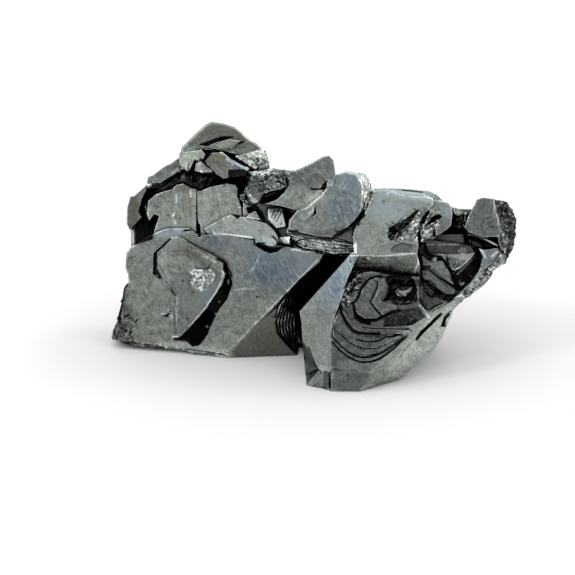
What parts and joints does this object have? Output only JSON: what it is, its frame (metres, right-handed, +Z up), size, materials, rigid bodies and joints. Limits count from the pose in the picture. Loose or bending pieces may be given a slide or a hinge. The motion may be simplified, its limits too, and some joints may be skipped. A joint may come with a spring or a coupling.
{
  "type": "hematite specimen",
  "caption": "Intergrown group of tabular hematite crystals with bevelled edges and stepped growth terraces, standing on a flat base cut.",
  "frame": {"origin": "middle of the footprint of the bounding box, on the plane that the specimen rests on", "axes": "+X along the specimen's length, from the slab-like crystal to the small end crystal; +Z up; -Y is the displayed front"},
  "size_m": [0.0508, 0.0286, 0.0285],
  "materials": {
    "hematite": "grey-black metallic crystal faces, polished to softly satin, with dark steps and a faint blue and brown tarnish"
  },
  "bodies": {
    "root": {"hematite_crystals": "hematite"}
  },
  "joints": []
}
